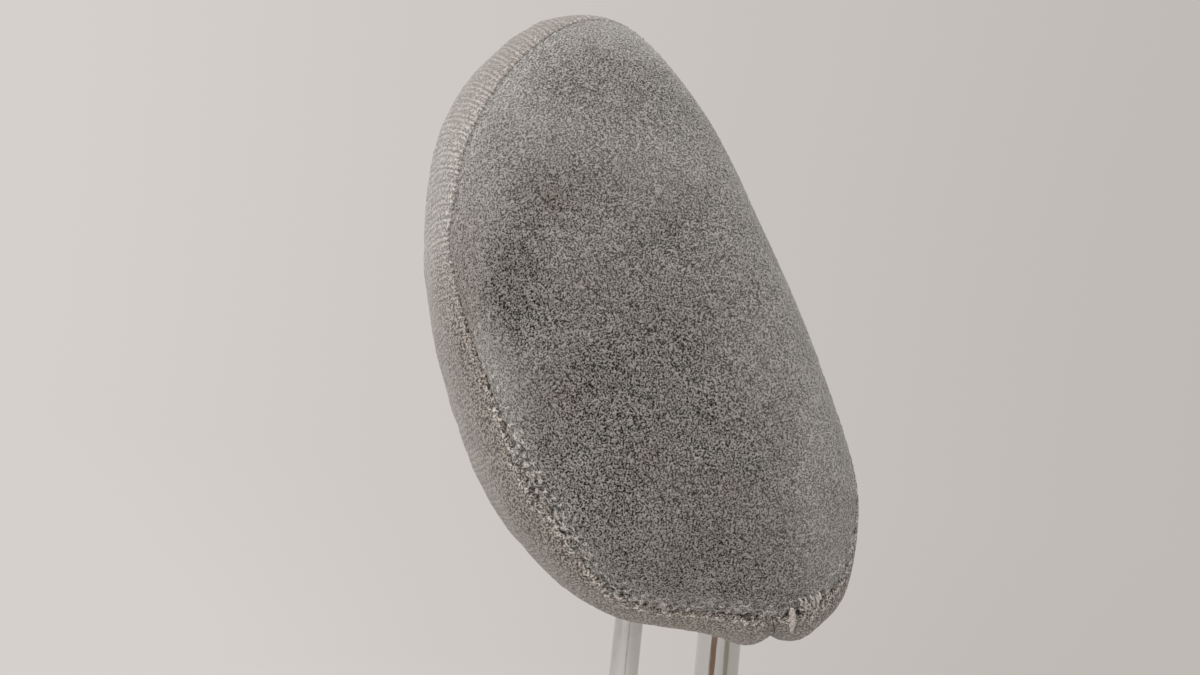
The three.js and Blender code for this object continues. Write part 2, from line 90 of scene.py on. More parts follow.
def unit(vectors):
    """Each vector divided by its own length."""
    return vectors / np.maximum(np.linalg.norm(vectors, axis=-1, keepdims=True), 1e-12)


def grid_faces(rows, columns, around=False, start=0):
    """The four corner numbers of every cell of a grid of points, row after row;
    around joins the last column to the first."""
    i = np.arange(rows - 1)[:, None]
    j = np.arange(columns if around else columns - 1)[None, :]
    after = (j + 1) % columns
    a, b = i * columns + j, i * columns + after
    return np.stack([a, b, b + columns, a + columns], axis=-1).reshape(-1, 4) + start


def put_mesh(name, points, faces, material, flat=False):
    """A mesh object from points in millimetres and lists of corner numbers."""
    mesh = bpy.data.meshes.new(name)
    corners = [row for block in faces for row in np.asarray(block).tolist()]
    mesh.from_pydata((np.asarray(points).reshape(-1, 3) / 1000).tolist(), [], corners)
    mesh.polygons.foreach_set("use_smooth", np.full(len(corners), not flat))
    mesh.materials.append(material)
    mesh.update()
    piece = bpy.data.objects.new(name, mesh)
    bpy.context.scene.collection.objects.link(piece)
    return piece


def rod(path, radius, sides, across):
    """Points of a round rod: at each point of the path, a circle of that point's
    radius in the plane square to the path. The circle starts in the direction
    across, made square to the path."""
    ahead = unit(np.gradient(path, axis=0))
    across = np.broadcast_to(np.asarray(across, float), path.shape)
    first = unit(across - (across * ahead).sum(-1, keepdims=True) * ahead)
    second = np.cross(ahead, first)
    turn = np.linspace(0, 2 * np.pi, sides, endpoint=False)[None, :, None]
    reach = np.broadcast_to(np.asarray(radius, float), len(path))[:, None, None]
    circle = np.cos(turn) * first[:, None] + np.sin(turn) * second[:, None]
    return path[:, None] + reach * circle


def rod_mesh(rings, ends, start=0):
    """Points and faces of a rod from its rings and its two end points."""
    count, sides = rings.shape[:2]
    points = np.concatenate([rings.reshape(-1, 3), ends])
    j = np.arange(sides)
    after = (j + 1) % sides
    last = (count - 1) * sides
    tip, tail = count * sides, count * sides + 1
    caps = np.concatenate([
        np.stack([after, j, np.full(sides, tip)], -1),
        np.stack([last + j, last + after, np.full(sides, tail)], -1),
    ])
    return points, [grid_faces(count, sides, True, start), caps + start]


def shader(name, colour, roughness, metallic=0.0, sheen=0.0, specular=0.5):
    """A material with its Principled shader, and the node tree to add a pattern to."""
    material = bpy.data.materials.new(name)
    material.use_nodes = True
    tree = material.node_tree
    surface = tree.nodes["Principled BSDF"]
    surface.inputs["Base Color"].default_value = (*colour, 1)
    surface.inputs["Roughness"].default_value = roughness
    surface.inputs["Metallic"].default_value = metallic
    surface.inputs["Specular IOR Level"].default_value = specular
    surface.inputs["Sheen Weight"].default_value = sheen
    return material, tree, surface


def node_of(tree, kind, links=None, **values):
    """A node of a material: values name its properties or its unlinked inputs, and
    links name the outputs that feed its inputs."""
    made = tree.nodes.new(kind)
    for key, value in values.items():
        if hasattr(made, key):
            setattr(made, key, value)
        else:
            made.inputs[key.replace("_", " ")].default_value = value
    for key, source in (links or {}).items():
        tree.links.new(source, made.inputs[key])
    return made


def object_point(tree, scale=(1, 1, 1)):
    """Object coordinates in metres, stretched by scale along each axis."""
    place = node_of(tree, "ShaderNodeTexCoord").outputs["Object"]
    mapping = node_of(tree, "ShaderNodeMapping", {"Vector": place})
    mapping.inputs["Scale"].default_value = scale
    return mapping.outputs["Vector"]


def noise(tree, vector, scale, detail=2.0, roughness=0.5):
    """A noise value about 0.5, with its largest features 1 / scale metres across."""
    made = node_of(tree, "ShaderNodeTexNoise", {"Vector": vector}, Scale=scale,
                   Detail=detail, Roughness=roughness)
    return made.outputs["Fac"]


def ramp(tree, value, low, high, to_low=0.0, to_high=1.0):
    """value from low to high, brought to the range to_low to to_high and clamped."""
    made = node_of(tree, "ShaderNodeMapRange", {"Value": value}, clamp=True)
    for key, number in zip(("From Min", "From Max", "To Min", "To Max"),
                           (low, high, to_low, to_high)):
        made.inputs[key].default_value = number
    return made.outputs["Result"]


def mixed(tree, share, first, second):
    """Colour from first to second by share; either may be a link or a colour."""
    made = node_of(tree, "ShaderNodeMix", data_type="RGBA")
    for key, value in ((0, share), (6, first), (7, second)):
        if isinstance(value, (tuple, list)):
            made.inputs[key].default_value = (*value, 1)
        elif isinstance(value, (int, float)):
            made.inputs[key].default_value = value
        else:
            tree.links.new(value, made.inputs[key])
    return made.outputs[2]


def bumped(tree, surface, height, distance, strength=1.0):
    """The surface roughened by height; distance in metres is what 1 stands for."""
    made = node_of(tree, "ShaderNodeBump", {"Height": height}, Distance=distance,
                   Strength=strength)
    tree.links.new(made.outputs["Normal"], surface.inputs["Normal"])


def make_chrome():
    """Bright plate: drawn fine along the posts, faintly hazed in cloudy patches."""
    material, tree, surface = shader("chrome", (0.62, 0.62, 0.61), 0.1, metallic=1.0)
    haze = noise(tree, object_point(tree), 60, 3)
    drawn = noise(tree, object_point(tree, (1, 1, 0.03)), 2600, 2)
    tree.links.new(ramp(tree, haze, 0.35, 0.75, 0.07, 0.2), surface.inputs["Roughness"])
    tree.links.new(mixed(tree, ramp(tree, haze, 0.55, 0.8), (0.64, 0.64, 0.63),
                         (0.5, 0.48, 0.45)), surface.inputs["Base Color"])
    bumped(tree, surface, drawn, 0.00003)
    return material


def stay_rings():
    """The bar's centre line runs up the left post, round a quarter circle, along the
    crossbar and down again. The radius shrinks to the chamfer at each tip. Outside a
    notch's depth, every point is drawn in to a plane that rises along the ramp."""
    post = np.concatenate([tip_heights, [2.5], np.arange(3.5, crossbar_z - bend_radius, 0.5)])
    turn = np.linspace(0, np.pi / 2, 25)
    centre = post_x - bend_radius
    bend = np.stack([-centre - bend_radius * np.cos(turn),
                     crossbar_z - bend_radius + bend_radius * np.sin(turn)], -1)
    half = np.concatenate([np.stack([np.full(len(post), -post_x), post], -1), bend])
    bar = np.stack([np.linspace(-centre + 2, centre - 2, 24), np.full(24, crossbar_z)], -1)
    line = np.concatenate([half, bar, (half * (-1, 1))[::-1]])
    path = np.stack([line[:, 0], np.zeros(len(line)), line[:, 1]], -1)
    rings = rod(path, np.interp(path[:, 2], tip_heights, tip_radii), 64, (0, 1, 0))
    up = rings[..., 2, None] - notch_heights
    rising = np.clip((up - notch_flat) / notch_ramp, 0, 1)
    depth = np.where((up > -0.01) & (up < notch_flat + notch_ramp), 1 - rising, 0).max(-1)
    limit = post_x + bar_radius - notch_depth * depth
    rings[..., 0] = np.clip(rings[..., 0], -limit, limit)
    return rings


rings = stay_rings()
points, faces = rod_mesh(rings, np.array([[-post_x, 0, 0], [post_x, 0, 0]]))
stay = put_mesh("stay_bar", points, faces, make_chrome())
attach(stay, "stay")
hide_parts("stay")


# Inside the foam: the CAD's own solids. Two black shells, four zinc-plated screws and
# a stop pin, two split bushes and two spring clips on the crossbar, and the two hooked
# closure strips.
def dress(names, material):
    """Gives CAD nodes a material of their own."""
    for name in names:
        nodes[name].data.materials.clear()
        nodes[name].data.materials.append(material)


def make_moulded(name, colour, roughness):
    """Moulded plastic: a fine spark-eroded grain and slow unevenness of tone."""
    material, tree, surface = shader(name, colour, roughness)
    place = object_point(tree)
    tone = ramp(tree, noise(tree, place, 30, 3), 0.3, 0.7)
    darker, lighter = (tuple(c * f for c in colour) for f in (0.8, 1.15))
    tree.links.new(mixed(tree, tone, darker, lighter), surface.inputs["Base Color"])
    bumped(tree, surface, noise(tree, place, 2500, 2), 0.00006)
    return material


def make_plain_steel(name, colour, roughness, spots):
    """Plated or blued steel: spangled in patches, with fine scratches."""
    material, tree, surface = shader(name, colour, roughness, metallic=1.0)
    place = object_point(tree)
    patch = ramp(tree, noise(tree, place, spots, 2), 0.35, 0.65)
    darker = tuple(c * 0.7 for c in colour)
    tree.links.new(mixed(tree, patch, darker, colour), surface.inputs["Base Color"])
    tree.links.new(ramp(tree, patch, 0, 1, roughness + 0.12, roughness),
                   surface.inputs["Roughness"])
    bumped(tree, surface, noise(tree, object_point(tree, (1, 0.1, 1)), 3000, 2), 0.00004)
    return material


dress(["core_front", "core_rear"], make_moulded("black_plastic", (0.03, 0.03, 0.03), 0.5))
dress(["pivot_bush_left", "pivot_bush_right", "closure_strip_front", "closure_strip_rear"],
      make_moulded("pale_plastic", (0.62, 0.6, 0.54), 0.45))
dress([f"core_screw_{k}" for k in (1, 2, 3, 4)] + ["stop_pin"],
      make_plain_steel("zinc_steel", (0.46, 0.47, 0.47), 0.35, 300))
dress(["friction_clip_left", "friction_clip_right"],
      make_plain_steel("spring_steel", (0.3, 0.31, 0.32), 0.3, 120))


# Foam body: one moulding of yellowish polyurethane under the cover, with a skin of
# fine open cells. It shows only in the two slots that the posts swing in.
def make_foam():
    """Open cells as small pits in a yellowish skin that has aged in patches; painted shade
    darkens each pit.
    """
    material, tree, surface = shader("foam", (0.66, 0.56, 0.28), 0.95, specular=0.2)
    place = object_point(tree)
    cells = node_of(tree, "ShaderNodeTexVoronoi", {"Vector": place}, Scale=1100.0)
    pit = ramp(tree, cells.outputs["Distance"], 0.1, 0.5)
    aged = mixed(tree, ramp(tree, noise(tree, place, 40, 3), 0.35, 0.7),
                 (0.7, 0.62, 0.36), (0.58, 0.45, 0.2))
    # Painted shade: the skin's colour darkens in each cell's pit, the bump's hollow.
    tree.links.new(mixed(tree, pit, (0.3, 0.22, 0.09), aged), surface.inputs["Base Color"])
    bumped(tree, surface, pit, 0.0003)
    return material


def foam_body():
    """The CAD's foam solid with its corners softened, as a moulding's are: a copy is
    rebuilt in 2.5 mm cells and smoothed."""
    piece = nodes["foam_pad"].copy()
    piece.name = "foam_body"
    piece.data = nodes["foam_pad"].data.copy()
    bpy.context.scene.collection.objects.link(piece)
    remesh = piece.modifiers.new("cells", "REMESH")
    remesh.mode, remesh.voxel_size = "VOXEL", 0.0025
    smooth = piece.modifiers.new("smooth", "SMOOTH")
    smooth.factor, smooth.iterations = 0.5, 4
    mesh = bpy.data.meshes.new_from_object(
        piece.evaluated_get(bpy.context.evaluated_depsgraph_get()))
    piece.modifiers.clear()
    piece.data = mesh
    mesh.polygons.foreach_set("use_smooth", np.full(len(mesh.polygons), True))
    mesh.materials.clear()
    mesh.materials.append(make_foam())
    return piece


foam = foam_body()
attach(foam, "cushion")
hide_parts("foam_pad")


# Cushion's form: the outline of the middle, carried across the width and drawn in
# towards the centre line as a superellipse of power 5. The cover follows it.
outline_knots = np.array([
    [-56, 129.3], [-77.6, 126.8], [-96, 106.6], [-103.3, 80.3], [-98.2, 41.8],
    [-85.5, 9.3], [-68.1, -21.5], [-39.3, -44.9], [-11, -48.3], [14.4, -48.6],
    [28.5, -40.8], [33.4, -12.5], [17.2, 30.1], [-5, 70.4], [-28.7, 106.8],
], float)
centre_yz = np.array([-33.0, 38.0])
half_width = 128.0
form_power = 5
seam_shares = np.array([0.87, 0.88, 0.89, 0.803, 0.854, 0.83, 0.874, 0.838])
# Where the sewn seam strays from its line: degrees round, spread, extra share
seam_strays = [(118, 8, -0.012), (150, 8, 0.008), (168, 9, 0.022), (250, 8, -0.02),
               (277, 8, 0.015), (307, 6, -0.012)]


def smooth_outline(knots, steps=100):
    """A closed curve through the knots: between two knots it is the cubic whose end
    slopes come from the neighbouring knots, each stretch weighted by the square root
    of its length. Returns the points, in (y, z), and the length up to each."""
    before, start, end, after = (np.roll(knots, k, axis=0) for k in (1, 0, -1, -2))
    d0, d1, d2 = (np.sqrt(np.linalg.norm(b - a, axis=1))[:, None]
                  for a, b in ((before, start), (start, end), (end, after)))
    leave = ((start - before) / d0 - (end - before) / (d0 + d1) + (end - start) / d1) * d1
    reach = ((end - start) / d1 - (after - start) / (d1 + d2) + (after - end) / d2) * d1
    w = (np.arange(steps) / steps)[None, :, None]
    start, end, leave, reach = (a[:, None] for a in (start, end, leave, reach))
    curve = (start + leave * w + (3 * (end - start) - 2 * leave - reach) * w ** 2
             + (2 * (start - end) + leave + reach) * w ** 3).reshape(-1, 2)
    curve = np.concatenate([curve, curve[:1]])
    along = np.concatenate([[0], np.cumsum(np.linalg.norm(np.diff(curve, axis=0), axis=1))])
    return curve, along


curve, curve_along = smooth_outline(outline_knots)
outline_length = curve_along[-1]
curve_angle = np.unwrap(np.arctan2(curve[:, 1] - centre_yz[1], curve[:, 0] - centre_yz[0]))


def outline_at(along):
    """Point of the outline, in (y, z), at a length along it."""
    wrapped = np.mod(along, outline_length)
    return np.stack([np.interp(wrapped, curve_along, curve[:, k]) for k in (0, 1)], -1)


def along_of_angle(angle):
    """Length along the outline at a compass angle, in radians, seen from the centre."""
    turned = np.mod(angle - curve_angle[0], 2 * np.pi) + curve_angle[0]
    return np.interp(turned, curve_angle, curve_along)


def compass(along):
    """Degrees round the centre: 0 behind, 90 over the top, 180 in front, 270 below."""
    offset = outline_at(along) - centre_yz
    return np.mod(np.degrees(np.arctan2(offset[..., 1], offset[..., 0])), 360)


def fade(distance, reach):
    """A soft bell: 1 where the distance is nothing, about a third at the reach."""
    return np.exp(-(distance / reach) ** 2)


def seam_share(along):
    """How far out from the centre the end panels' seam lies, as a share of the
    outline's distance: eight values round the compass, blended by a cosine, and the
    places where it strays."""
    step = compass(along) / 45
    low = np.floor(step).astype(int)
    blend = (1 - np.cos(np.pi * (step - low))) / 2
    share = seam_shares[low % 8] * (1 - blend) + seam_shares[(low + 1) % 8] * blend
    for place, spread, extra in seam_strays:
        share = share + extra * fade(step * 45 - place, spread)
    return share


def cushion_point(along, share, across):
    """A point of the form: share of the way from the centre line to the outline, and
    across times half the width along X."""
    spot = centre_yz + share[..., None] * (outline_at(along) - centre_yz)
    return np.stack([half_width * across, spot[..., 0], crossbar_z + spot[..., 1]], -1)


def other_axis(value):
    """The superellipse: the fifth powers of share and across add up to 1."""
    return np.clip(1 - np.abs(value) ** form_power, 0, 1) ** (1 / form_power)


def band_form(along, t):
    """The wrap panel's form: t runs from -1 to 1 between the two seams."""
    across = t * other_axis(seam_share(along))
    return cushion_point(along, other_axis(across), across)


def end_form(angle, rho, side):
    """An end panel's form: rho runs from 0 at its middle to 1 at the seam."""
    along = along_of_angle(angle)
    share = rho * seam_share(along)
    return cushion_point(along, share, side * other_axis(share))


def outward(form, a, b, step):
    """Unit vectors square to a form at parameters a and b, from the differences of
    four points a small step away, turned to point away from the cushion's middle."""
    along_a = form(a + step[0], b) - form(a - step[0], b)
    along_b = form(a, b + step[1]) - form(a, b - step[1])
    square = unit(np.cross(along_a, along_b))
    middle = np.array([0, *centre_yz]) + (0, 0, crossbar_z)
    facing = (square * (form(a, b) - middle)).sum(-1, keepdims=True)
    return square * np.sign(facing)


# Filling: the cover is blown out against its seams by the foam. A coarse sheet of the
# whole cover, drawn in between the seams, is swollen by cloth simulation, and the
# finished panels take the swelling from it.
closure_from_centre = np.array([12.5, -48.7]) - centre_yz
closure_along = along_of_angle(math.atan2(closure_from_centre[1], closure_from_centre[0]))
fill_rows, fill_band, fill_end = 84, 41, 10
fill_half, fill_reach = 118, 65  # from the middle of a wrap row or an end panel to its seam
fill_frames = 20
fill_cap = 5.0
fill_drawn_in = 2.4
fill_uneven = 0.5


def filling_grid():
    """Points and outward directions of the coarse sheet, in rows round the outline
    and columns from the middle of one end panel to the middle of the other. Also
    how far each point may be drawn in: nothing at a seam or the closure, all of it
    15 mm away."""
    along = closure_along + outline_length * np.arange(fill_rows) / fill_rows
    row = along[:, None]
    angle = np.interp(np.mod(row, outline_length), curve_along, curve_angle)
    t = np.linspace(-1, 1, fill_band)[None, :] + 0 * row
    rho = np.linspace(0, 1, fill_end + 1)[None, 1:-1] + 0 * row
    band = band_form(row + 0 * t, t)
    band_out = outward(band_form, row + 0 * t, t, (0.5, 0.004))
    parts, outs, aways = [], [], []
    for side in (-1, 1):
        form = lambda a, b, side=side: end_form(a, b, side)
        spread = rho if side < 0 else rho[:, ::-1]
        parts.append(form(angle + 0 * spread, spread))
        outs.append(outward(form, angle + 0 * spread, spread, (0.005, 0.004)))
        aways.append((1 - spread) * fill_reach)
    points = np.concatenate([parts[0], band, parts[1]], 1)
    out = np.concatenate([outs[0], band_out, outs[1]], 1)
    away = np.concatenate([aways[0], (1 - np.abs(t)) * fill_half, aways[1]], 1)
    from_closure = np.abs(np.mod(row - closure_along + outline_length / 2, outline_length)
                          - outline_length / 2)
    on_band = np.abs(points[..., 0]) < fill_half
    from_closure = np.where(on_band, from_closure + 0 * away, 99)
    return points, out, np.minimum(away, from_closure)


def swell():
    """Swelling in millimetres along the outward direction on the coarse grid: the sheet
    is drawn in, blown out again by an even pressure with its seams and closure held,
    and the move is capped. The form already holds each panel's even part, so that is
    taken off and a share of the rest is kept."""
    points, out, away = filling_grid()
    drawn_in = fill_drawn_in * (1 - fade(away, 9))
    rows, columns = away.shape
    start = points - drawn_in[..., None] * out
    poles = np.array([[-half_width, *centre_yz], [half_width, *centre_yz]])
    poles += (0, 0, crossbar_z)
    poles[:, 0] += (fill_drawn_in, -fill_drawn_in)
    j = np.arange(rows)
    after = (j + 1) % rows
    first, last = rows * columns, rows * columns + 1
    k = np.arange(columns - 1)
    closing = (rows - 1) * columns
    faces = [grid_faces(rows, columns), np.stack([closing + k, closing + k + 1, k + 1, k], -1),
             np.stack([j * columns, after * columns, np.full(rows, first)], -1),
             np.stack([(after + 1) * columns - 1, (j + 1) * columns - 1,
                       np.full(rows, last)], -1)]
    all_points = np.concatenate([start.reshape(-1, 3), poles])
    corner = all_points[faces[0][rows * columns // 2, :3]]
    facing = np.cross(corner[1] - corner[0], corner[2] - corner[0])
    if (facing * (corner[0] - poles.mean(0))).sum() < 0:
        faces = [block[:, ::-1] for block in faces]
    material = bpy.data.materials.new("sheet")
    sheet = put_mesh("filling_sheet", all_points, faces, material)
    held = sheet.vertex_groups.new(name="held")
    held.add(np.flatnonzero((away < 2).ravel()).tolist(), 1.0, "ADD")
    scene = bpy.context.scene
    cloth = sheet.modifiers.new("cloth", "CLOTH")
    for key, value in {
            "quality": 6, "mass": 0.1, "tension_stiffness": 2, "compression_stiffness": 2,
            "shear_stiffness": 1, "bending_stiffness": 0.1, "use_pressure": True,
            "uniform_pressure_force": 4, "vertex_group_mass": "held"}.items():
        setattr(cloth.settings, key, value)
    cloth.settings.effector_weights.gravity = 0
    cloth.point_cache.frame_start, cloth.point_cache.frame_end = 1, fill_frames
    for number in range(1, fill_frames + 1):
        scene.frame_set(number)
    seen = sheet.evaluated_get(bpy.context.evaluated_depsgraph_get()).to_mesh()
    moved = np.empty(len(seen.vertices) * 3, np.float32)
    seen.vertices.foreach_get("co", moved)
    moved = moved.reshape(-1, 3)[:rows * columns].reshape(rows, columns, 3) * 1000
    bpy.data.objects.remove(sheet)
    bpy.data.materials.remove(material)
    scene.frame_set(1)
    rise = fill_cap * np.tanh(((moved - start) * out).sum(-1) / fill_cap)
    free = drawn_in / fill_drawn_in
    first_seam, second_seam = fill_end - 1, fill_end + fill_band - 1
    for part in (slice(0, first_seam), slice(first_seam, second_seam), slice(second_seam, None)):
        even = (rise[:, part] * free[:, part]).sum() / (free[:, part] ** 2).sum()
        rise[:, part] -= even * free[:, part]
    return fill_uneven * rise


swelling = swell()


def swelling_at(along, column):
    """The swelling at a length along the outline and a column of the coarse grid:
    cubic blending of the four nearest rows and columns."""
    row = np.mod(along - closure_along, outline_length) / outline_length * fill_rows
    columns = swelling.shape[1]

    def weights(x):
        low = np.floor(x).astype(int)
        f = x - low
        return low, (0.5 * (-f + 2 * f ** 2 - f ** 3), 0.5 * (2 - 5 * f ** 2 + 3 * f ** 3),
                     0.5 * (f + 4 * f ** 2 - 3 * f ** 3), 0.5 * (-f ** 2 + f ** 3))

    (r, row_w), (c, column_w) = weights(row), weights(column)
    total = np.zeros(np.broadcast(row, column).shape)
    for m in range(4):
        for n in range(4):
            picked = swelling[(r + m - 1) % fill_rows, np.clip(c + n - 1, 0, columns - 1)]
            total = total + row_w[m] * column_w[n] * picked
    return total


def waves(points, length, seed, along=(1, 1, 1), count=56):
    """A random wavy value with spread 1: the sum of plane waves of about one length,
    in seeded directions and phases; along says how much they run along each axis."""
    draw = np.random.default_rng(seed)
    directions = unit(draw.normal(size=(count, 3)) * along)
    pace = 2 * np.pi / (length * draw.uniform(0.75, 1.35, count))
    phase = draw.uniform(0, 2 * np.pi, count)
    flat = np.asarray(points, np.float32).reshape(-1, 3)
    turn = flat @ (directions * pace[:, None]).T.astype(np.float32) + phase.astype(np.float32)
    return (np.cos(turn).sum(-1) * math.sqrt(2 / count)).reshape(points.shape[:-1])


# Seam's character round the compass. It lies shallow over the top and puckers hard at
# the lower front and below, where its pits come at every stitch, 3.3 mm apart.
seam_round = np.array([0, 45, 90, 135, 165, 180, 205, 230, 270, 305, 330, 360])
seam_depths = np.array([0.8, 0.5, 0.5, 0.35, 0.35, 0.35, 0.7, 1.4, 1.4, 1.1, 0.9, 0.8])
seam_puckers = np.array([0.3, 0.1, 0.1, 0.1, 0.3, 0.2, 0.4, 1.0, 0.8, 0.9, 0.4, 0.3])
stitch_count = round(outline_length / 3.3)


def stitch_turn(along):
    """Turns of the stitches' beat at a length along the outline: a stitch sits at each
    whole number, and the steps between them are uneven."""
    turn = 2 * np.pi * along / outline_length
    stray = 0.12 * np.sin(7 * turn) + 0.16 * np.sin(31 * turn + 1) + 0.1 * np.sin(53 * turn)
    return stitch_count * along / outline_length + stray


def seam_values(along):
    """Depth and pucker of the seam, and the stitches' beat (1 at a stitch, -1 midway
    between two, unevenly strong) at a length along the outline."""
    depth = np.interp(compass(along), seam_round, seam_depths)
    pucker = np.interp(compass(along), seam_round, seam_puckers)
    turn = 2 * np.pi * along / outline_length
    uneven = 0.6 + 0.25 * np.sin(17 * turn + 2 * np.sin(5 * turn)) + 0.3 * np.sin(43 * turn)
    return depth, pucker, uneven * np.cos(2 * np.pi * stitch_turn(along))


def seam_drop(along, distance):
    """Drop of a panel at a distance from its seam: the edge turned down in a quarter
    circle, a wide soft dip, and pits at the stitches."""
    depth, pucker, beat = seam_values(along)
    near = fade(distance - 0.8, 1.5)
    wide = 0.25 * depth * fade(distance, 7)
    return rolled(distance, depth * (0.6 + 0.35 * beat)) + wide + 0.25 * pucker * beat * near


def seam_shade(along, distance, strokes):
    """How tufted the cover is near the seam, and how deep the painted shadow laid on it
    is, from 0 to about 1. The tufts follow the strokes, and the pits sit at the stitches."""
    _, pucker, beat = seam_values(along)
    near = fade(distance - 1.8, 2.9)
    tuft = pucker * np.clip(0.3 + 0.75 * strokes, 0, 1.3) * near
    # Painted shadow: in the gaps between the tufts and in the pits at the stitches.
    gap = pucker * np.clip(-0.3 - 0.6 * strokes, 0, 0.7) * near
    reach = 0.3 + pucker * (0.2 + 0.7 * np.clip(beat, 0, 1))
    pit = 0.1 + 0.9 * pucker * np.clip(0.35 + 0.9 * beat, 0, 1)
    pit = np.maximum(pit, 0.9 * np.clip(3 * beat - 1.8, 0, 1))
    return tuft, np.maximum(gap, pit * fade(distance, reach))


def rolled(distance, radius):
    """Drop below the panel near an edge that turns down in a quarter circle."""
    inside = np.clip(1 - distance / radius, 0, 1)
    return radius * (1 - np.sqrt(1 - inside ** 2))


# End panels: one piece of plush velour each, foam-backed, sewn face to face with the
# wrap panel. The pile has clumped into small tufts with dark gaps, deepened with painted
# shade, and painted sheen lightens it near the seam.
end_wide, end_tall, end_cell = 113.0, 151.0, 0.42
disc_wide, disc_tall, disc_lean = 57, 78, math.radians(20)
rim_slope = 1.12  # way along the panel near its seam for 1 mm towards the centre line
cover_thickness = 4.0


def bumps(y, z, spots):
    """Sum of soft round spots: each has a centre, two radii, a lean and a height."""
    total = np.zeros(np.broadcast(y, z).shape)
    for (cy, cz, ry, rz, lean, height) in spots:
        c, s = math.cos(math.radians(lean)), math.sin(math.radians(lean))
        dy, dz = y - cy, z - cz
        total += height * np.exp(-((c * dy + s * dz) / ry) ** 2 - ((c * dz - s * dy) / rz) ** 2)
    return total


# Each spot: y and z from the crossbar, two radii in mm, its lean in degrees, and its
# height in mm, or how much painted light it adds (painted shade below 0), or how strongly it is
# browned
end_dents = [(-71, 37, 8, 14, -12, -1.5), (-57, -2, 12, 20, 15, -1.0),
             (-79, 24, 6, 22, 10, 0.9), (-45, 95, 14, 10, 0, -0.6),
             (-20, 10, 26, 18, 30, 0.5), (-58, -34, 10, 7, -30, 0.5)]
# Painted light and shade in soft spots on the pile: above 0 a spot lightens its colour and
# flattens its relief, below 0 it darkens it.
end_light_shade_spots = [(-84, 60, 6, 16, 10, 0.5), (-72, 5, 5, 20, 18, 1.1), (-72, 88, 12, 18, 20, 0.4),
               (0, 20, 14, 55, 22, 0.75), (-42, 112, 22, 9, 0, 0.5), (16, -18, 13, 24, 10, 1.2),
               (-75, 36, 9, 15, 0, -0.9), (-50, 0, 18, 26, 0, -0.6), (-30, 35, 22, 24, 20, -0.3),
               (-44, 74, 28, 18, 0, 0.6), (-14, 0, 13, 13, 0, -0.7), (16, 30, 10, 50, 20, 0.3),
               (-20, -38, 32, 9, 0, -0.5)]
# How much painted sheen and light lighten the pile beside the seam: degrees round, and the
# amount there
rim_round = np.array([0, 60, 100, 200, 235, 265, 320, 360])
rim_painted_light = np.array([0.3, 0.5, 0.9, 1.0, 0.5, 0.0, 0.1, 0.3])
end_browned = [(-87, 34, 6, 20, 8, 1.0), (-62, -20, 14, 7, -45, 0.8), (-34, -44, 30, 5, 0, 0.5),
               (-40, 102, 8, 6, 0, 0.5), (-88, 8, 8, 26, 10, 0.5), (-15, 90, 8, 12, 0, 0.35)]


def paint(piece, **values):
    """Float attributes on a mesh's points, for its material to read."""
    for name, value in values.items():
        layer = piece.data.attributes.new(name, "FLOAT", "POINT")
        layer.data.foreach_set("value", np.asarray(value, np.float32).ravel())


